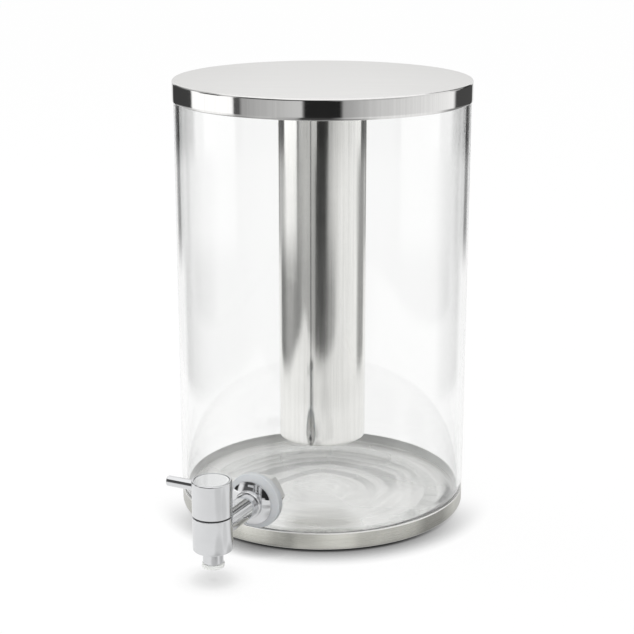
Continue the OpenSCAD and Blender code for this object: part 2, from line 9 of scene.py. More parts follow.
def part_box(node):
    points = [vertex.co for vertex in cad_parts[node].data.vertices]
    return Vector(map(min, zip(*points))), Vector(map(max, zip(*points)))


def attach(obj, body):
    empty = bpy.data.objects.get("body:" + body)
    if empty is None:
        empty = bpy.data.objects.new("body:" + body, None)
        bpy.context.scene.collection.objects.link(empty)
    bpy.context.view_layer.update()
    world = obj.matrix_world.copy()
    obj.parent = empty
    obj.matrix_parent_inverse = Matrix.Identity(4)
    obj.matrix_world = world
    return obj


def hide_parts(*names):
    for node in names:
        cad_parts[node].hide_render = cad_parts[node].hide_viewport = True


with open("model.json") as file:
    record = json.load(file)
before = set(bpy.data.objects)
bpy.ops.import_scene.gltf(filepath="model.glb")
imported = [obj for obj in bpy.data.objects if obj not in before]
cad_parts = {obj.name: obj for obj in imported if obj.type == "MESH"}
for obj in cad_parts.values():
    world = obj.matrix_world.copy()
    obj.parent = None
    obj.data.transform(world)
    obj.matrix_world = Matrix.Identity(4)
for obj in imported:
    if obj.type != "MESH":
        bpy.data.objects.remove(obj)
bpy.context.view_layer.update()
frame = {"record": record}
scene = bpy.context.scene
scene.view_settings.view_transform = "Standard"

# Light goes through two glass walls, the glass floor and back again
scene.cycles.max_bounces = 24
scene.cycles.transmission_bounces = 24
scene.cycles.glossy_bounces = 8
scene.cycles.transparent_max_bounces = 16

# The photograph was taken from this far round from the tap, towards +X
PHOTO_ANGLE = math.radians(26.0)
PHOTO_FRONT = (math.sin(PHOTO_ANGLE), -math.cos(PHOTO_ANGLE), 0.0)
PHOTO_RIGHT = (math.cos(PHOTO_ANGLE), math.sin(PHOTO_ANGLE), 0.0)

# Sizes of the glass jar, in metres as all sizes here
JAR_WALL = 0.003
JAR_FLOOR = 0.006
HEEL = 0.016
INNER_HEEL = 0.0068
FOOT_RING = 0.008
PUSH_UP = 0.0015
HOLE_RADIUS = 0.00792

# Waves of its pressed floor: height, radius to a radian of the rings, and the fade towards the heel
WAVE_HEIGHT = 0.00012
WAVE_RADIAN = 0.0064
WAVE_END = 0.080
WAVE_FADE = 0.012

# Sheet and bent edge of the lid, the tray and the tube, and how far the lid stays inside its solid
LID_SHEET = 0.0006
LID_EDGE = 0.0013
LID_INSET = 0.00002
TRAY_SHEET = 0.0008
TRAY_EDGE = 0.0022
TUBE_SHEET = 0.0008

# The tap's flange, whose tilt is in degrees, and the cap in the tap's knob
FLANGE_BORE = 0.00702
FLANGE_SEAT = 0.0084
FLANGE_DOME = 0.0252
FLANGE_TILT = 15.0
FLANGE_EDGE = 0.00015
CAP_RADIUS = 0.01
CAP_EDGE = 0.0004

# Places taken from the frame
JAR_AXIS = (0.0, 0.0, 0.0)
JAR_LOW, JAR_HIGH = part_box("glass_jar")
TRAY_LOW, TRAY_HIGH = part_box("base_tray")
TRAY_FLOOR = TRAY_LOW.z + TRAY_SHEET
TUBE_LOW, TUBE_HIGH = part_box("ice_tube")
KNOB_LOW, KNOB_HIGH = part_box("tap_knob")
TAP_AXIS = (0.0, (KNOB_LOW.y + KNOB_HIGH.y) / 2.0, 0.0)

# The tube's seam stands 11 degrees round from the tap, which is at -90 degrees
SEAM_ANGLE = math.radians(11.0 - 90.0)
SEAM = (TUBE_HIGH.x * math.cos(SEAM_ANGLE), TUBE_HIGH.x * math.sin(SEAM_ANGLE))

# Half width of its line on the wall and at the foot, and the foot's height
SEAM_HALF = 0.0007
SEAM_FOOT_HALF = 0.0016
SEAM_FOOT = 0.003


# Node trees

# The range that most of a noise lies in
NOISE_LOW = 0.3
NOISE_HIGH = 0.7


def rgba(colour):
    """A plain level or a colour as the four numbers of a socket."""
    if isinstance(colour, (int, float)):
        colour = (colour,) * 3
    return tuple(colour) + (1.0,)


class Graph:
    """A node tree built by short calls.
    What goes into a socket is a number, a colour or another socket."""

    def __init__(self, tree):
        self.tree = tree
        tree.nodes.clear()

    def add(self, kind, inputs=None, **settings):
        node = self.tree.nodes.new("ShaderNode" + kind)
        for name, value in settings.items():
            setattr(node, name, value)
        for name, value in (inputs or {}).items():
            self.put(node.inputs[name], value)
        return node

    def put(self, socket, value):
        if isinstance(value, bpy.types.NodeSocket):
            self.tree.links.new(value, socket)
        elif socket.type == "RGBA":
            socket.default_value = rgba(value)
        else:
            socket.default_value = value

    def math(self, operation, *values):
        node = self.add("Math", operation=operation)
        for socket, value in zip(node.inputs, values):
            self.put(socket, value)
        return node.outputs[0]

    def times(self, a, b):
        return self.math("MULTIPLY", a, b)

    def plus(self, a, b):
        return self.math("ADD", a, b)

    def minus(self, a, b):
        return self.math("SUBTRACT", a, b)

    def without(self, share):
        """What is left of 1 without a share."""
        return self.minus(1.0, share)

    def between(self, share, a, b):
        """A number that goes from a to b as the share goes from 0 to 1."""
        return self.plus(self.times(self.without(share), a), self.times(share, b))

    def squares(self, a, b):
        """The sum of two squares."""
        return self.plus(self.times(a, a), self.times(b, b))

    def vector(self, operation, a, b):
        node = self.add("VectorMath", operation=operation)
        self.put(node.inputs[0], a)
        self.put(node.inputs[1], b)
        return node.outputs["Value" if operation == "DOT_PRODUCT" else "Vector"]

    def split(self, vector):
        return self.add("SeparateXYZ", {"Vector": vector}).outputs

    def join(self, x, y, z):
        return self.add("CombineXYZ", {"X": x, "Y": y, "Z": z}).outputs[0]

    def grey(self, level):
        """A number as a colour."""
        return self.join(level, level, level)

    def coords(self, kind="Object"):
        return self.add("TexCoord").outputs[kind]

    def stretched(self, x, y, z):
        """The place in the frame, with each direction scaled by itself."""
        return self.vector("MULTIPLY", self.coords(), (x, y, z))

    def along(self, direction, point=None):
        """How far a point lies in a direction. The point is the place in the frame if none is given."""
        return self.vector("DOT_PRODUCT", self.coords() if point is None else point, direction)

    def around(self, axis=JAR_AXIS):
        """Cosine and sine of the angle round an upright axis, the distance from it, and the height."""
        x, y, z = self.split(self.vector("SUBTRACT", self.coords(), axis))
        r = self.math("MAXIMUM", self.math("SQRT", self.squares(x, y)), 1e-5)
        return self.math("DIVIDE", x, r), self.math("DIVIDE", y, r), r, z

    def noise(self, vector, scale=1.0, detail=3.0, roughness=0.6, distortion=0.0):
        values = {"Vector": vector, "Scale": scale, "Detail": detail}
        values.update({"Roughness": roughness, "Distortion": distortion})
        return self.add("TexNoise", values).outputs["Fac"]

    def fit(self, value, start, end, low=0.0, high=1.0, kind="LINEAR"):
        """A number that goes from low to high as the value goes from start to end."""
        values = {"Value": value, "From Min": start, "From Max": end, "To Min": low, "To Max": high}
        return self.add("MapRange", values, interpolation_type=kind).outputs["Result"]

    def ease(self, value, start, end, low=0.0, high=1.0):
        """Like fit, with a soft start and end."""
        return self.fit(value, start, end, low, high, "SMOOTHSTEP")

    def vary(self, pattern, low=0.0, high=1.0):
        """A number that goes from low to high over the usual range of a noise."""
        return self.fit(pattern, NOISE_LOW, NOISE_HIGH, low, high)

    def blend(self, factor, a, b):
        """A colour that goes from a to b as the factor goes from 0 to 1.
        The node's kinds share their sockets' names, so its colours go by number."""
        node = self.add("Mix", data_type="RGBA")
        for place, value in ((0, factor), (6, a), (7, b)):
            self.put(node.inputs[place], value)
        return node.outputs[2]

    def shade(self, colour, factor):
        """A colour times a number."""
        return self.vector("MULTIPLY", colour, self.grey(factor))

    def ramp(self, value, stops):
        """A level that follows a row of stops, each with its place between 0 and 1 and its level."""
        node = self.add("ValToRGB", {"Fac": value})
        bar = node.color_ramp
        while len(bar.elements) < len(stops):
            bar.elements.new(0.5)
        for element, (place, level) in zip(bar.elements, stops):
            element.position = place
            element.color = rgba(level)
        return node.outputs["Color"]

    def bump(self, height, strength, distance, normal=None):
        values = {"Height": height, "Strength": strength, "Distance": distance}
        if normal is not None:
            values["Normal"] = normal
        return self.add("Bump", values).outputs["Normal"]

    def mix_shader(self, factor, a, b):
        node = self.add("MixShader", {"Fac": factor})
        self.put(node.inputs[1], a)
        self.put(node.inputs[2], b)
        return node.outputs[0]


def material(slot):
    """The record's material for a slot, emptied, with a Principled shader on its output."""
    mat = bpy.data.materials.get(slot) or bpy.data.materials.new(slot)
    mat.use_nodes = True
    g = Graph(mat.node_tree)
    out = g.add("OutputMaterial")
    shader = g.add("BsdfPrincipled")
    g.put(out.inputs["Surface"], shader.outputs[0])
    return g, shader, out


def set_shader(g, shader, **values):
    """Fills a shader's sockets. An underscore in a name stands for a space."""
    for name, value in values.items():
        g.put(shader.inputs[name.replace("_", " ")], value)


def turned_lines(g, fine, reach=3.0):
    """Fine lines that run round the jar's axis, on walls and on flat faces alike."""
    c, s, r, z = g.around()
    return g.noise(g.join(g.times(c, reach), g.times(s, reach), g.times(g.plus(r, z), fine)))


def smudges(g, scale):
    """Soft uneven patches, as handling and polishing leave them."""
    return g.noise(g.coords(), scale, detail=4.0, distortion=0.4)


def oval(g, right, front, half_right, half_front, level, core):
    """A level in an oval patch, which fades out from its core.
    The patch is placed by the photograph's right and front."""
    off_right = g.times(g.minus(g.along(PHOTO_RIGHT), right), 1.0 / half_right)
    off_front = g.times(g.minus(g.along(PHOTO_FRONT), front), 1.0 / half_front)
    return g.ease(g.squares(off_right, off_front), core, 1.0, level, 0.0)


# Steel and chrome

# Painted reflection rings in the tone of the tray's floor behind the middle, outwards: radius and level
FLOOR_RINGS = (
    (0.0, 0.88), (0.022, 0.90), (0.026, 0.94), (0.0275, 0.54), (0.033, 0.60), (0.0345, 0.95),
    (0.042, 0.82), (0.0435, 0.48), (0.050, 0.46), (0.0515, 0.82), (0.056, 0.55), (0.0575, 0.88),
    (0.063, 0.60), (0.0645, 0.92), (0.076, 0.76), (0.082, 0.90),
)

# Painted reflections on the tray's wall, lighter and darker stretches from the photograph's left to its
# right: place and level
WALL_TONES = (
    (-0.090, 1.05), (-0.046, 1.50), (-0.034, 1.28), (-0.028, 0.92), (-0.019, 0.84),
    (-0.014, 1.20), (0.012, 1.36), (0.018, 1.30), (0.022, 1.18), (0.045, 1.02),
    (0.056, 0.92), (0.063, 0.58), (0.074, 0.58), (0.082, 1.10),
)

# Both ramps reach this far out, past the tray. A full level of the wall's ramp stands for this tone.
TONE_REACH = 0.1
TONE_TOP = 2.0

# The painted reflection rings wander by this much, and fade out between these places towards the front
RING_WANDER = 0.004
RINGS_FADE = (-0.020, 0.010)

# A patch of painted light on the tray's floor, brighter: place, half sizes and how much
PAINTED_LIGHT_FRONT = 0.046
PAINTED_LIGHT_HALF_RIGHT = 0.042
PAINTED_LIGHT_HALF_FRONT = 0.030
PAINTED_LIGHT = 0.12

# Changes of the tray's finish, and of the painted highlight on its lip: below its top, above its floor,
# and towards the photograph's right
LIP_FADE = (0.0009, 0.0005)
BEND_FADE = (0.0004, 0.0012)
MATT_FADE = (-0.02, 0.04)

# Heights between which the tube gets more worn
WORN_FADE = (0.125, 0.085)


def tray_outside(g, lines, lip):
    """Colour of the tray's outside: spun lines, cloudy patches, painted reflections on the wall and a
    painted highlight on the lip.
    """
    c, s, _, z = g.around()
    spun = g.plus(g.times(lines, 0.45), g.times(turned_lines(g, 420.0, 1.5), 0.55))
    colour = g.blend(g.fit(spun, 0.32, 0.68), (0.44, 0.436, 0.40), (0.53, 0.526, 0.49))
    around = g.join(g.times(c, 2.6), g.times(s, 2.6), g.times(z, 25.0))
    patch = g.noise(around, detail=2.0, roughness=0.5, distortion=0.4)
    cloudy = g.ease(patch, 0.38, 0.60, 0.90 * TONE_TOP, 1.06 * TONE_TOP)
    # The wall's ramp paints reflections into the steel's colour, as lighter and darker stretches across
    # it
    place = g.fit(g.along(PHOTO_RIGHT), -TONE_REACH, TONE_REACH)
    stops = [(0.5 + at / (2.0 * TONE_REACH), level / TONE_TOP) for at, level in WALL_TONES]
    tone = g.times(cloudy, g.ramp(place, stops))
    # The lip's light colour is a painted highlight along the rim
    return g.blend(lip, g.shade(colour, tone), (0.95, 0.945, 0.93))


def tray_inside(g, cloud, bend):
    """Colour of the tray's inside: painted reflection rings behind the middle, and a plainer front."""
    r = g.around()[2]
    drift = g.noise(g.stretched(26.0, 26.0, 0.0), detail=1.0, roughness=0.4, distortion=0.3)
    uneven = g.plus(r, g.fit(drift, 0.25, 0.75, -RING_WANDER, RING_WANDER))
    # The floor's rings are painted reflections in the steel's colour, lighter and darker bands
    stops = [(at / TONE_REACH, level) for at, level in FLOOR_RINGS]
    rings = g.ramp(g.math("DIVIDE", uneven, TONE_REACH), stops)
    plain = g.blend(g.fit(cloud, 0.35, 0.7), 0.87, 0.80)
    # A patch of painted light that brightens the floor's front
    painted_light = oval(g, 0.0, PAINTED_LIGHT_FRONT, PAINTED_LIGHT_HALF_RIGHT, PAINTED_LIGHT_HALF_FRONT, PAINTED_LIGHT, core=0.0)
    plain = g.vector("ADD", plain, g.grey(painted_light))
    tone = g.blend(g.ease(g.along(PHOTO_FRONT), *RINGS_FADE), rings, plain)
    fine = g.fit(turned_lines(g, 260.0, 1.2), 0.35, 0.65, 0.92, 1.06)
    pale = g.blend(bend, g.shade(tone, fine), 0.95)
    return g.vector("MULTIPLY", pale, (1.0, 0.995, 0.98))


def make_base_steel():
    """Satin steel, spun outside, with a painted highlight on the lip. Inside, under the glass, it shows
    painted reflection rings.
    """
    g, shader, _ = material("satin_base_steel")
    r, z = g.around()[2:]
    lines = turned_lines(g, 2600.0)
    cloud = g.noise(g.stretched(16.0, 22.0, 0.0), detail=1.0, roughness=0.4, distortion=0.8)
    within_wall = g.fit(r, TRAY_HIGH.x - 0.4 * TRAY_SHEET, TRAY_HIGH.x - 0.65 * TRAY_SHEET)
    above_floor = g.fit(z, TRAY_LOW.z + 0.25 * TRAY_SHEET, TRAY_LOW.z + 0.65 * TRAY_SHEET)
    inside = g.times(within_wall, above_floor)
    lip = g.ease(g.minus(TRAY_HIGH.z, z), *LIP_FADE)
    bend = g.ease(g.minus(z, TRAY_FLOOR), *BEND_FADE)
    satin = g.plus(g.vary(lines, 0.24, 0.34), g.times(lip, -0.15))
    calm = g.plus(g.vary(cloud, 0.24, 0.31), g.times(bend, 0.14))
    matt = g.times(g.times(inside, bend), g.fit(g.along(PHOTO_RIGHT), *MATT_FADE, 0.15, 0.70))
    set_shader(
        g, shader, Metallic=g.without(matt), Anisotropic=0.3, Anisotropic_Rotation=0.25,
        Base_Color=g.blend(inside, tray_outside(g, lines, lip), tray_inside(g, cloud, bend)),
        Roughness=g.between(inside, satin, calm),
        Normal=g.bump(g.times(lines, g.without(inside)), 0.05, 0.0002),
        Tangent=g.add("Tangent", direction_type="RADIAL", axis="Z").outputs[0],
    )


def make_lid_steel():
    """Brushed on top, polished on the edge and the skirt. The top's colour holds a painted shade and a
    painted highlight.
    """
    g, shader, _ = material("lid_steel")
    up = g.split(g.coords("Normal"))[2]
    top = g.ease(up, 0.90, 0.985)
    along = g.along(PHOTO_RIGHT)
    across = g.along(PHOTO_FRONT)
    strokes = g.join(g.times(along, 12.0), g.times(across, 1500.0), 0.0)
    brush = g.noise(strokes, detail=4.0, roughness=0.65)
    satin = g.plus(g.vary(brush, 0.34, 0.42), g.fit(smudges(g, 25.0), 0.35, 0.65, -0.007, 0.007))
    polish = g.vary(turned_lines(g, 900.0), 0.03, 0.065)
    # The top takes a darker copy of the skirt's steel, a painted shade on its lit top
    bright = g.blend(g.vary(brush), (0.76, 0.755, 0.745), (0.83, 0.825, 0.815))
    soft = g.blend(g.vary(brush), (0.71, 0.705, 0.695), (0.79, 0.785, 0.775))
    # Painted highlight on the top: lighter towards the front and in the middle, darker towards its ends
    painted_sheen_front = g.fit(across, -JAR_HIGH.x, JAR_HIGH.x, 0.965, 1.055)
    painted_sheen_ends = g.fit(g.math("ABSOLUTE", along), JAR_HIGH.x / 3.0, JAR_HIGH.x, 0.0, -0.05)
    set_shader(
        g, shader, Metallic=1.0, Anisotropic=0.6, Tangent=g.join(*PHOTO_FRONT),
        Base_Color=g.blend(top, bright, g.shade(soft, g.plus(painted_sheen_front, painted_sheen_ends))),
        Roughness=g.between(top, polish, satin),
        Normal=g.bump(g.times(brush, top), 0.10, 0.0002),
    )


def make_tube_steel():
    """Rolled steel with a fine upright grain, duller towards its foot, and the seam's dark line."""
    g, shader, _ = material("tube_steel")
    grain = g.noise(g.stretched(900.0, 900.0, 9.0))
    wave = g.noise(g.stretched(55.0, 55.0, 8.0), detail=2.0, roughness=0.5)
    x, y, z = g.split(g.coords())
    off = g.math("SQRT", g.squares(g.minus(x, SEAM[0]), g.minus(y, SEAM[1])))
    reach = g.ease(z, TUBE_LOW.z, TUBE_LOW.z + SEAM_FOOT, SEAM_FOOT_HALF, SEAM_HALF)
    on_seam = g.ease(g.math("DIVIDE", off, reach), 0.2, 1.0, 0.55, 0.0)
    bare = g.blend(g.vary(grain), (0.85, 0.845, 0.82), (0.93, 0.925, 0.905))
    worn = g.ease(z, *WORN_FADE, 0.0, 0.02)
    handled = g.fit(smudges(g, 45.0), 0.35, 0.65, -0.02, 0.03)
    set_shader(
        g, shader, Metallic=1.0,
        Base_Color=g.blend(on_seam, bare, 0.12),
        Roughness=g.plus(worn, g.plus(g.vary(grain, 0.07, 0.12), handled)),
        Normal=g.bump(grain, 0.05, 0.0002, g.bump(wave, 0.10, 0.001)),
    )


def make_fitting_steel():
    """Plain turned steel, for the fittings inside."""
    g, shader, _ = material("fitting_steel")
    spots = smudges(g, 160.0)
    lines = turned_lines(g, 1800.0)
    set_shader(
        g, shader, Metallic=0.75,
        Base_Color=g.blend(spots, (0.70, 0.695, 0.68), (0.84, 0.835, 0.82)),
        Roughness=g.plus(g.vary(spots, 0.30, 0.42), g.vary(lines, 0.0, 0.05)),
        Normal=g.bump(spots, 0.08, 0.0003),
    )


def make_chrome():
    """Polished chrome with faint wipes, and a brighter chrome on the knob's cap as a painted highlight.
    """
    g, shader, _ = material("tap_chrome")
    spots = smudges(g, 120.0)
    wipes = g.noise(g.stretched(300.0, 300.0, 40.0))
    sides = g.blend(spots, (0.68, 0.685, 0.695), (0.74, 0.745, 0.755))
    r, z = g.around(TAP_AXIS)[2:]
    # The cap's brighter chrome is a painted highlight
    at_top = g.fit(z, KNOB_HIGH.z - 2.0 * CAP_EDGE, KNOB_HIGH.z - CAP_EDGE)
    cap_highlight = g.times(at_top, g.fit(r, CAP_RADIUS, 0.97 * CAP_RADIUS))
    set_shader(
        g, shader, Metallic=1.0,
        Base_Color=g.blend(cap_highlight, sides, (0.93, 0.935, 0.94)),
        Roughness=g.plus(g.vary(spots, 0.02, 0.045), g.fit(wipes, 0.4, 0.75, 0.0, 0.02)),
        Normal=g.bump(spots, 0.03, 0.0004),
    )


def make_brass():
    g, shader, _ = material("brass")
    spots = smudges(g, 300.0)
    set_shader(
        g, shader, Metallic=1.0,
        Base_Color=g.blend(spots, (0.60, 0.42, 0.16), (0.78, 0.60, 0.28)),
        Roughness=g.vary(spots, 0.22, 0.38),
        Normal=g.bump(spots, 0.1, 0.0002),
    )


# Glass, bond, silicone, plastic and rubber

# Heights between which the glass gets its swirls
SWIRL_FADE = (0.016, 0.006)


def make_glass():
    """Clear glass, slightly uneven, with swirls near its floor. Shadow rays go straight through it."""
    g, shader, out = material("clear_glass")
    low = g.ease(g.split(g.coords())[2], *SWIRL_FADE)
    swirl = g.noise(g.stretched(30.0, 44.0, 30.0), detail=1.0, roughness=0.4, distortion=1.0)
    wall = g.noise(g.stretched(24.0, 24.0, 3.0), detail=2.0, roughness=0.5)
    set_shader(
        g, shader, Base_Color=(0.989, 0.991, 0.989), Roughness=0.0, IOR=1.47,
        Transmission_Weight=1.0, Specular_IOR_Level=0.06,
        Normal=g.bump(g.times(swirl, low), 0.02, 0.003, g.bump(wall, 0.02, 0.002)),
    )
    clear = g.add("BsdfTransparent", {"Color": (0.955, 0.965, 0.96)})
    shadow = g.add("LightPath").outputs["Is Shadow Ray"]
    g.put(out.inputs["Surface"], g.mix_shader(shadow, shader.outputs[0], clear.outputs[0]))


def make_bond():
    """A clear bond that wets both faces, so that it shows as little more than a soft sheen."""
    g, shader, _ = material("clear_bond")
    spots = smudges(g, 90.0)
    set_shader(
        g, shader, Base_Color=(0.78, 0.78, 0.76), Alpha=0.14, IOR=1.41,
        Roughness=g.vary(spots, 0.15, 0.35),
        Normal=g.bump(spots, 0.2, 0.0006),
    )


def make_silicone():
    g, shader, _ = material("milky_silicone")
    grain = g.noise(g.coords(), 900.0, detail=2.0, roughness=0.5)
    set_shader(
        g, shader, IOR=1.41,
        Subsurface_Weight=0.5, Subsurface_Scale=1.0, Subsurface_Radius=(0.004, 0.0045, 0.005),
        Base_Color=g.blend(smudges(g, 60.0), (0.55, 0.565, 0.58), (0.65, 0.665, 0.68)),
        Roughness=g.vary(grain, 0.34, 0.48),
        Normal=g.bump(grain, 0.05, 0.0002),
    )


def make_milky_plastic():
    g, shader, _ = material("milky_plastic")
    spots = smudges(g, 150.0)
    set_shader(
        g, shader, IOR=1.46,
        Subsurface_Weight=0.6, Subsurface_Scale=1.0, Subsurface_Radius=(0.003, 0.003, 0.003),
        Base_Color=g.blend(spots, (0.86, 0.88, 0.84), (0.92, 0.935, 0.90)),
        Roughness=g.vary(spots, 0.22, 0.34),
        Normal=g.bump(spots, 0.05, 0.0002),
    )


def make_rubber():
    g, shader, _ = material("black_rubber")
    grain = g.noise(g.coords(), 700.0, detail=4.0)
    set_shader(
        g, shader,
        Base_Color=g.blend(grain, 0.012, 0.035),
        Roughness=g.vary(grain, 0.6, 0.8),
        Normal=g.bump(grain, 0.3, 0.0003),
    )


def make_dark_plastic():
    g, shader, _ = material("dark_plastic")
    grain = g.noise(g.coords(), 500.0)
    set_shader(
        g, shader,
        Base_Color=g.blend(grain, 0.03, 0.06),
        Roughness=g.vary(grain, 0.35, 0.5),
        Normal=g.bump(grain, 0.1, 0.0002),
    )


make_base_steel()
make_lid_steel()
make_tube_steel()
make_fitting_steel()
make_chrome()
make_brass()
make_glass()
make_bond()
make_silicone()
make_milky_plastic()
make_rubber()
make_dark_plastic()


# Turned pieces, finer than the solids that they stand for

ON_AXIS = 1e-7
SAME_HEIGHT = 1e-6
SHARP_ANGLE = math.radians(32.0)


def arc(centre_r, centre_z, radius, start, end, count):
    """Points of an arc in a half outline. Angles are in degrees: 0 points outwards and 90 up."""
    turns = [math.radians(start + (end - start) * i / count) for i in range(count + 1)]
    return [(centre_r + radius * math.cos(a), centre_z + radius * math.sin(a)) for a in turns]


def line(start, end, count):
    """Evenly spaced points of a half outline, with the first point and without the last."""
    (r0, z0), (r1, z1) = start, end
    return [(r0 + (r1 - r0) * i / count, z0 + (z1 - z0) * i / count) for i in range(count)]


def turned_mesh(name, outline, closed=False, segments=720):
    """A mesh turned round the upright axis.
    An outline is closed in itself, or starts and ends on the axis."""
    points, rings, faces = [], [], []
    for r, z in outline:
        first = len(points)
        if r < ON_AXIS:
            points.append((0.0, 0.0, z))
            rings.append([first] * segments)
            continue
        for i in range(segments):
            a = 2.0 * math.pi * i / segments
            points.append((r * math.cos(a), r * math.sin(a), z))
        rings.append(list(range(first, first + segments)))
    next_rings = rings[1:] + rings[:1] if closed else rings[1:]
    for low, high in zip(rings, next_rings):
        for i in range(segments):
            j = (i + 1) % segments
            faces.append(tuple(dict.fromkeys((low[i], low[j], high[j], high[i]))))
    mesh = bpy.data.meshes.new(name)
    mesh.from_pydata(points, [], faces)
    return mesh


def finish_piece(mesh, name, node, slot):
    """The piece that stands for a CAD node, in the node's body.
    Its faces look outwards and are smooth but for real edges."""
    bm = bmesh.new()
    bm.from_mesh(mesh)
    bmesh.ops.recalc_face_normals(bm, faces=bm.faces)
    bm.to_mesh(mesh)
    bm.free()
    mesh.shade_smooth()
    mesh.set_sharp_from_angle(angle=SHARP_ANGLE)
    mesh.materials.clear()
    mesh.materials.append(bpy.data.materials[slot])
    piece = bpy.data.objects.new(name, mesh)
    scene.collection.objects.link(piece)
    bodies = frame["record"]["behaviour"]["bodies"]
    body = next(b for b, members in bodies.items() if node in members)
    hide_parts(node)
    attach(piece, body)


def glass_wave(x, y):
    """How the pressed glass floor rises and dips.
    It has low rings and softer wandering swells, and is flat at the heel."""
    r = math.hypot(x, y)
    wander = noise.noise(Vector((x * 19.0, y * 19.0, 0.3)))
    shift = 2.2 * noise.noise(Vector((x * 14.0, y * 14.0, 4.1)))
    ripple = math.sin(r / WAVE_RADIAN + shift)
    fade = max(0.0, min(1.0, (WAVE_END - r) / WAVE_FADE))
    return WAVE_HEIGHT * fade * (0.75 * wander + 0.25 * ripple)


def jar_outline():
    """Half outline of the glass.
    It goes from the middle of its floor over the rim to the middle of its foot."""
    radius, foot = JAR_HIGH.x, JAR_LOW.z
    inside = radius - JAR_WALL
    rim = JAR_WALL / 2.0
    floor = foot + JAR_FLOOR
    heel_r = radius - HEEL
    foot_in = heel_r - FOOT_RING
    cap_radius = (foot_in ** 2 + PUSH_UP ** 2) / (2.0 * PUSH_UP)
    cap_turn = math.degrees(math.asin(foot_in / cap_radius))
    wall_top = JAR_HIGH.z - rim
    wall_low = floor + INNER_HEEL
    outline = line((0.0, floor), (inside - INNER_HEEL, floor), 56)
    outline += arc(inside - INNER_HEEL, wall_low, INNER_HEEL, -90.0, 0.0, 14)
    outline += line((inside, wall_low), (inside, wall_top), 44)[1:]
    outline += arc(inside + rim, wall_top, rim, 180.0, 0.0, 16)
    outline += line((radius, wall_top), (radius, foot + HEEL), 44)[1:]
    outline += arc(heel_r, foot + HEEL, HEEL, 0.0, -90.0, 28)
    outline += [(foot_in, foot)]
    outline += arc(0.0, foot + PUSH_UP - cap_radius, cap_radius, 90.0 - cap_turn, 90.0, 30)
    return outline


def drilled(mesh):
    """The jar's mesh with the tap's hole cut through its wall."""
    blank = bpy.data.objects.new("jar_blank", mesh)
    scene.collection.objects.link(blank)
    low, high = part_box("tap_flange")
    drill = bpy.data.meshes.new("tap_hole")
    depth = HEEL + 2.0 * JAR_WALL
    bm = bmesh.new()
    bmesh.ops.create_cone(
        bm, cap_ends=True, segments=96, radius1=HOLE_RADIUS, radius2=HOLE_RADIUS, depth=depth)
    for vertex in bm.verts:
        x, y, z = vertex.co
        vertex.co = (x, z - JAR_HIGH.x, y + (low.z + high.z) / 2.0)
    bm.to_mesh(drill)
    bm.free()
    cutter = bpy.data.objects.new("tap_hole", drill)
    scene.collection.objects.link(cutter)
    cut = blank.modifiers.new("tap hole", "BOOLEAN")
    cut.object = cutter
    cut.operation = "DIFFERENCE"
    cut.solver = "EXACT"
    evaluated = blank.evaluated_get(bpy.context.evaluated_depsgraph_get())
    result = bpy.data.meshes.new_from_object(evaluated)
    bpy.data.objects.remove(blank)
    bpy.data.objects.remove(cutter)
    return result


def make_jar():
    floor = JAR_LOW.z + JAR_FLOOR
    mesh = turned_mesh("jar_glass", jar_outline())
    for vertex in mesh.vertices:
        if abs(vertex.co.z - floor) < SAME_HEIGHT:
            vertex.co.z += glass_wave(vertex.co.x, vertex.co.y)
    finish_piece(drilled(mesh), "jar_glass", "glass_jar", "clear_glass")


def pressed_cup(radius, floor, rim, sheet, edge, floor_rings=24, wall_rings=6):
    """Half outline of a cup of sheet from the middle of its outer floor to that of its inner floor.
    It stands upright where the rim is higher than the floor, and upside down where it is lower."""
    up = 1.0 if rim > floor else -1.0
    bend = floor + up * edge
    lip = rim - up * sheet / 2.0
    inner_floor = floor + up * sheet
    outline = line((0.0, floor), (radius - edge, floor), floor_rings)
    outline += arc(radius - edge, bend, edge, -90.0 * up, 0.0, 14)
    outline += line((radius, bend), (radius, lip), wall_rings)[1:]
    outline += arc(radius - sheet / 2.0, lip, sheet / 2.0, 0.0, 180.0 * up, 12)
    outline += line((radius - sheet, lip), (radius - sheet, bend), wall_rings)[1:]
    outline += arc(radius - edge, bend, edge - sheet, 0.0, -90.0 * up, 10)
    outline += line((radius - edge, inner_floor), (0.0, inner_floor), floor_rings)[1:]
    return outline + [(0.0, inner_floor)]


def make_lid():
    low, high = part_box("lid_shell")
    outline = pressed_cup(high.x - LID_INSET, high.z, low.z, LID_SHEET, LID_EDGE)
    finish_piece(turned_mesh("lid_pressing", outline), "lid_pressing", "lid_shell", "lid_steel")


def make_base():
    outline = pressed_cup(TRAY_HIGH.x, TRAY_LOW.z, TRAY_HIGH.z, TRAY_SHEET, TRAY_EDGE)
    mesh = turned_mesh("base_pressing", outline)
    finish_piece(mesh, "base_pressing", "base_tray", "satin_base_steel")


def make_tube():
    """The rolled wall, with a rounded lower edge."""
    radius, top = TUBE_HIGH.x, TUBE_HIGH.z
    inside = radius - TUBE_SHEET
    edge = TUBE_SHEET / 2.0
    foot = TUBE_LOW.z + edge
    outline = line((radius, foot), (radius, top), 40)
    outline += [(radius, top)]
    outline += line((inside, top), (inside, foot), 8)
    outline += arc(inside + edge, foot, edge, 180.0, 360.0, 12)[:-1]
    mesh = turned_mesh("tube_wall", outline, closed=True)
    finish_piece(mesh, "tube_wall", "ice_tube", "tube_steel")


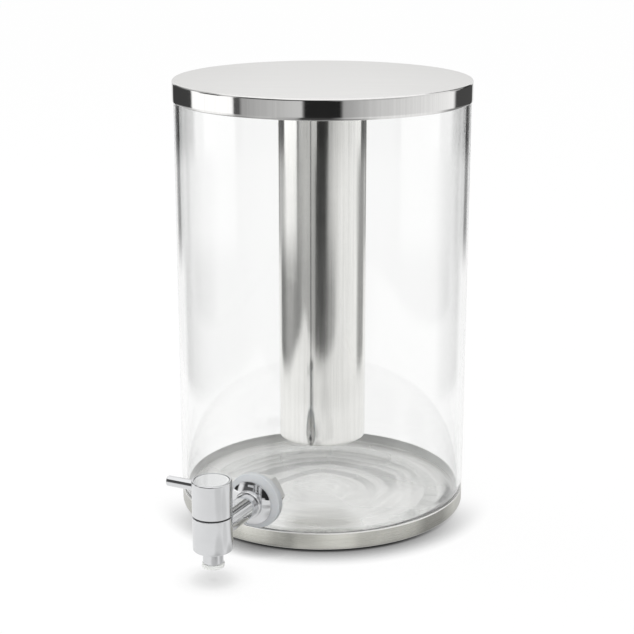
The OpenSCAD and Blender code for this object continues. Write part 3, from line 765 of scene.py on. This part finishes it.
def make_flange():
    """The flange against the gasket, domed from the collar's foot out to a thin edge."""
    low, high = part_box("tap_flange")
    thick = high.y - low.y
    middle = (low.z + high.z) / 2.0
    edge_r = high.x - FLANGE_EDGE
    start = math.radians(FLANGE_TILT)
    end = math.asin(math.sin(start) + (edge_r - FLANGE_SEAT) / FLANGE_DOME)
    centre_r = FLANGE_SEAT - FLANGE_DOME * math.sin(start)
    centre_h = thick - FLANGE_DOME * math.cos(start)
    edge_h = centre_h + FLANGE_DOME * math.cos(end)
    outline = [(FLANGE_BORE, 0.0), (edge_r, 0.0)]
    outline += arc(edge_r, edge_h - FLANGE_EDGE, FLANGE_EDGE, 0.0, 60.0, 4)
    outline += arc(centre_r, centre_h, FLANGE_DOME, 90.0 - math.degrees(end), 90.0 - FLANGE_TILT, 24)
    outline += [(FLANGE_BORE, thick)]
    mesh = turned_mesh("flange_dome", outline, closed=True, segments=256)
    for vertex in mesh.vertices:
        x, y, h = vertex.co
        vertex.co = (x, high.y - h, middle + y)
    finish_piece(mesh, "flange_dome", "tap_flange", "tap_chrome")


def make_cap():
    """The cap in the knob's top, with a rounded edge and a narrow gap round it."""
    low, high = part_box("knob_cap")
    inner = CAP_RADIUS - CAP_EDGE
    outline = line((0.0, high.z), (inner, high.z), 6)
    outline += arc(inner, high.z - CAP_EDGE, CAP_EDGE, 90.0, 0.0, 8)
    outline += [(CAP_RADIUS, low.z), (0.0, low.z)]
    mesh = turned_mesh("knob_disc", outline, segments=256)
    for vertex in mesh.vertices:
        vertex.co.y += (low.y + high.y) / 2.0
    finish_piece(mesh, "knob_disc", "knob_cap", "tap_chrome")


make_jar()
make_lid()
make_base()
make_tube()
make_flange()
make_cap()


# Studio

# The studio in rings, from near the table up to the ceiling. Each ring starts at a rise, which is
# the sine of the angle above the horizon, with the width of the change there. Its cards are given by
# how far round from the photograph's side they reach, in degrees with left as negative, and by their
# level there.
RINGS = (
    (-1.0, 0.0, (
        (-180.0, 0.96), (-142.0, 0.92), (-134.0, 0.20), (-120.0, 0.17), (-110.0, 0.28),
        (-95.0, 0.37), (-76.0, 0.27), (-68.0, 0.25), (-62.0, 0.28), (-52.0, 0.44), (-45.0, 0.45),
        (-30.0, 0.42), (-20.0, 0.38), (-16.0, 0.12), (-3.0, 0.08), (11.0, 0.15), (17.0, 0.30),
        (25.0, 0.34), (30.0, 0.37), (36.0, 0.60), (44.0, 0.86), (70.0, 0.95), (101.0, 0.98),
        (108.0, 0.45), (114.0, 0.30), (134.0, 0.36), (142.0, 0.92), (180.0, 0.96),
    )),
    (-0.232, 0.036, (
        (-180.0, 0.95), (-160.0, 0.92), (-156.0, 0.25), (-150.0, 0.25), (-146.0, 0.55),
        (-125.0, 0.55), (-114.0, 0.80), (-104.0, 1.12), (-80.0, 1.12), (-71.0, 0.90),
        (-68.5, 0.38), (-63.0, 0.42), (-42.0, 0.61), (-29.0, 0.51), (-19.0, 0.42), (-15.5, 0.06),
        (6.0, 0.05), (12.0, 0.20), (16.0, 0.50), (24.0, 0.66), (37.0, 0.83), (51.0, 0.92),
        (82.0, 0.97), (98.0, 0.90), (106.0, 0.55), (114.0, 0.28), (132.0, 0.30), (146.0, 0.55),
        (150.0, 0.20), (156.0, 0.20), (160.0, 0.92), (180.0, 0.95),
    )),
    (-0.172, 0.024, (
        (-180.0, 0.90), (-162.0, 0.90), (-158.0, 0.05), (-117.0, 0.06), (-115.0, 1.28),
        (-70.6, 1.28), (-69.4, 0.10), (-64.0, 0.10), (-62.6, 0.40), (-40.0, 0.55), (-15.5, 0.66),
        (-13.5, 0.02), (13.5, 0.02), (15.5, 0.40), (40.0, 0.66), (80.0, 0.86), (116.0, 1.05),
        (120.0, 0.07), (158.0, 0.07), (162.0, 0.90), (180.0, 0.90),
    )),
    (-0.070, 0.030, (
        (-180.0, 0.85), (-152.0, 0.85), (-148.0, 0.12), (-118.0, 0.12), (-114.0, 1.28),
        (-107.0, 1.28), (-103.0, 0.04), (-84.0, 0.04), (-81.0, 1.0), (-72.0, 1.0), (-66.0, 0.12),
        (-45.0, 0.12), (-35.0, 0.03), (4.0, 0.03), (14.0, 0.40), (60.0, 0.40), (70.0, 0.75),
        (100.0, 0.92), (112.0, 0.92), (116.0, 0.55), (124.0, 0.55), (127.0, 0.04), (150.0, 0.04),
        (153.0, 0.85), (180.0, 0.85),
    )),
    (0.210, 0.060, (
        (-180.0, 0.96), (-152.0, 0.96), (-146.0, 0.45), (-107.0, 0.45), (-102.0, 0.06),
        (-85.0, 0.06), (-81.0, 0.80), (-74.0, 0.80), (-66.0, 0.08), (-45.0, 0.08), (-35.0, 0.04),
        (3.0, 0.04), (14.0, 0.60), (60.0, 0.65), (70.0, 0.75), (100.0, 0.92), (122.0, 0.92),
        (124.0, 0.04), (131.0, 0.04), (133.0, 0.75), (137.0, 0.75), (139.0, 0.04), (150.0, 0.04),
        (153.0, 0.96), (180.0, 0.96),
    )),
    (0.460, 0.080, (
        (-180.0, 1.0), (-152.0, 1.0), (-146.0, 0.60), (-76.0, 0.60), (-66.0, 0.08), (-40.0, 0.08),
        (-34.0, 0.30), (-28.0, 0.50), (60.0, 0.60), (70.0, 0.75), (128.0, 0.92), (132.0, 0.10),
        (150.0, 0.10), (153.0, 1.0), (180.0, 1.0),
    )),
)

# The ceiling above the rings: where it starts, the width of the change there, and its level
CEILING_RISE = 0.70
CEILING_CHANGE = 0.04
CEILING = 1.15

# The floor's sheet, which lies just below the pad
FLOOR_HALF = 8.0
FLOOR_DROP = 0.0002

# How far reflections see the floor, as a table: to the front and to the sides, each with a soft edge.
# Its half width is this in the middle, grows towards the front and has a limit.
TABLE_FRONT = 0.348
TABLE_FRONT_BLUR = 0.028
TABLE_HALF = 0.32
TABLE_SPREAD = 0.33
TABLE_HALF_LIMIT = 0.36
TABLE_SIDE_BLUR = 0.04

# The paper's colour and its own light, as seen and as reflections and light see them
PAPER_SEEN = 0.05
PAPER = 0.36
GLOW_SEEN = 0.95
GLOW = 0.45

# The soft shadow where the object stands: its reach, where it starts and weakens towards the front,
# what is left of it there, and how much of it reflections see
CONTACT_REACH = 0.020
CONTACT_START = (-0.005, 0.080)
CONTACT_WEAKENS = (0.100, 0.125)
CONTACT_FRONT = 0.60
CONTACT_MIRRORED = 0.55

# The table's sheen in reflections: where it fades out towards the front, and how much it adds
SHEEN_FADE = (0.08, 0.28)
SHEEN = 0.11

# Painted shadows on the table, seen only in reflections, where its light is lower: place to the right
# and the front, half sizes, how much
TABLE_SHADES = (
    (0.030, 0.250, 0.060, 0.080, 0.13),
    (-0.025, 0.178, 0.032, 0.032, 0.16),
    (-0.050, 0.164, 0.030, 0.024, 0.30),
    (-0.020, 0.120, 0.028, 0.026, 0.30),
    (0.060, 0.165, 0.040, 0.045, 0.14),
    (0.016, 0.150, 0.026, 0.028, 0.12),
)


def fewer_turns(g, limit):
    """1 where a ray has turned fewer times than the limit, apart from going through glass."""
    path = g.add("LightPath").outputs
    return g.math("LESS_THAN", g.minus(path["Ray Depth"], path["Transmission Depth"]), limit)


def make_world():
    """The studio in reflections and as light.
    It is white where it is seen, directly or through glass."""
    world = bpy.data.worlds.new("studio")
    scene.world = world
    world.use_nodes = True
    g = Graph(world.node_tree)
    out = g.add("OutputWorld")
    ray = g.coords("Generated")
    angle = g.math("ARCTAN2", g.along(PHOTO_RIGHT, ray), g.along(PHOTO_FRONT, ray))
    turn = g.plus(g.math("DIVIDE", angle, 2.0 * math.pi), 0.5)
    rise = g.split(ray)[2]
    level = None
    for height, change, cards in RINGS:
        ring = g.ramp(turn, [(degrees / 360.0 + 0.5, tone) for degrees, tone in cards])
        if level is None:
            level = ring
        else:
            reached = g.ease(rise, height - change / 2.0, height + change / 2.0)
            level = g.blend(reached, level, ring)
    half_change = CEILING_CHANGE / 2.0
    reached = g.ease(rise, CEILING_RISE - half_change, CEILING_RISE + half_change)
    level = g.blend(reached, level, CEILING)
    studio = g.add("Background", {"Color": level, "Strength": 1.0})
    white = g.add("Background", {"Color": 1.0, "Strength": 1.0})
    path = g.add("LightPath").outputs
    through_glass = g.times(path["Is Transmission Ray"], fewer_turns(g, 1.5))
    seen = g.math("MAXIMUM", path["Is Camera Ray"], through_glass)
    g.put(out.inputs["Surface"], g.mix_shader(seen, studio.outputs[0], white.outputs[0]))


def contact_shadow(g, straight):
    """How much of the floor's light is left near the object, on the photograph's side of it."""
    front = g.along(PHOTO_FRONT)
    lee = g.ease(front, *CONTACT_START)
    lee = g.times(lee, g.ease(front, *CONTACT_WEAKENS, 1.0, CONTACT_FRONT))
    lee = g.times(lee, g.fit(straight, 0.0, 1.0, CONTACT_MIRRORED, 1.0))
    open_sky = g.add("AmbientOcclusion", {"Distance": CONTACT_REACH}, samples=8).outputs["AO"]
    return g.without(g.times(lee, g.without(g.times(open_sky, open_sky))))


def table_sheen(g):
    """What the table's light gains or loses in reflections."""
    sheen = g.ease(g.along(PHOTO_FRONT), *SHEEN_FADE, SHEEN, 0.0)
    for shade in TABLE_SHADES:
        sheen = g.minus(sheen, oval(g, *shade, core=0.1))
    return sheen


def past_table(g):
    """1 past the table's edges and 0 on it."""
    right = g.math("ABSOLUTE", g.along(PHOTO_RIGHT))
    front = g.along(PHOTO_FRONT)
    half = g.plus(TABLE_HALF, g.times(front, TABLE_SPREAD))
    half = g.math("MINIMUM", TABLE_HALF_LIMIT, half)
    on_side = g.ease(g.minus(right, half), TABLE_SIDE_BLUR, -TABLE_SIDE_BLUR)
    on_front = g.ease(front, TABLE_FRONT + TABLE_FRONT_BLUR, TABLE_FRONT - TABLE_FRONT_BLUR)
    return g.without(g.times(on_side, on_front))


def make_paper():
    """White paper. Reflections see it only as far as the table's edges, and the studio beyond them."""
    mat = bpy.data.materials.new("floor_paper")
    mat.use_nodes = True
    g = Graph(mat.node_tree)
    out = g.add("OutputMaterial")
    straight = fewer_turns(g, 0.5)
    mirrored = g.add("LightPath").outputs["Is Glossy Ray"]
    lit = g.add("BsdfDiffuse", {"Color": g.blend(straight, PAPER, PAPER_SEEN)})
    bounce = g.plus(GLOW, g.times(mirrored, table_sheen(g)))
    glow = g.times(g.between(straight, bounce, GLOW_SEEN), contact_shadow(g, straight))
    shine = g.add("Emission", {"Color": 1.0, "Strength": glow})
    paper = g.add("AddShader")
    g.put(paper.inputs[0], lit.outputs[0])
    g.put(paper.inputs[1], shine.outputs[0])
    beyond = g.times(past_table(g), g.without(straight))
    clear = g.add("BsdfTransparent")
    g.put(out.inputs["Surface"], g.mix_shader(beyond, paper.outputs[0], clear.outputs[0]))
    return mat


def make_floor():
    corners = [(-1, -1), (1, -1), (1, 1), (-1, 1)]
    mesh = bpy.data.meshes.new("floor")
    mesh.from_pydata([(x * FLOOR_HALF, y * FLOOR_HALF, 0) for x, y in corners], [], [(0, 1, 2, 3)])
    mesh.materials.append(make_paper())
    floor = bpy.data.objects.new("floor", mesh)
    scene.collection.objects.link(floor)
    floor.location.z = -FLOOR_DROP


LAMP_AIM = Vector((0.0, 0.0, 0.1))


def add_lamp(name, right, away, up, size, watts):
    """A square soft lamp aimed at the jar, placed by the photograph's right and away from its side.
    Reflections show the cards instead."""
    data = bpy.data.lights.new(name, "AREA")
    data.size = size
    data.energy = watts
    lamp = bpy.data.objects.new(name, data)
    scene.collection.objects.link(lamp)
    place = Vector(PHOTO_RIGHT) * right - Vector(PHOTO_FRONT) * away + Vector((0, 0, up))
    lamp.location = place
    lamp.rotation_mode = "QUATERNION"
    lamp.rotation_quaternion = (LAMP_AIM - place).to_track_quat("-Z", "Y")
    lamp.visible_glossy = False
    lamp.visible_transmission = False
    lamp.visible_camera = False


make_world()
make_floor()
add_lamp("key", right=-0.8, away=0.5, up=1.3, size=0.7, watts=6.0)
add_lamp("fill", right=-0.5, away=-1.2, up=0.9, size=0.9, watts=8.0)


# Camera

CAMERA_DISTANCE = 0.9578
CAMERA_HEIGHT = 0.3915
CAMERA_TILT = math.radians(15.82)
CAMERA_SWING = math.radians(0.2)
CAMERA_FAR = 50.0
SENSOR_MM = 36.0

# The focal length and the photograph's width, both in its pixels
FOCAL_PIXELS = 1583.3
PHOTO_PIXELS = 634.0


def add_camera():
    data = bpy.data.cameras.new("camera")
    data.sensor_width = SENSOR_MM
    data.lens = SENSOR_MM * FOCAL_PIXELS / PHOTO_PIXELS
    data.clip_end = CAMERA_FAR
    camera = bpy.data.objects.new("camera", data)
    scene.collection.objects.link(camera)
    aim = PHOTO_ANGLE + CAMERA_SWING
    level = math.cos(CAMERA_TILT)
    look = Vector((-math.sin(aim) * level, math.cos(aim) * level, -math.sin(CAMERA_TILT)))
    camera.location = Vector(PHOTO_FRONT) * CAMERA_DISTANCE + Vector((0, 0, CAMERA_HEIGHT))
    camera.rotation_mode = "QUATERNION"
    camera.rotation_quaternion = look.to_track_quat("-Z", "Y")
    scene.camera = camera


add_camera()
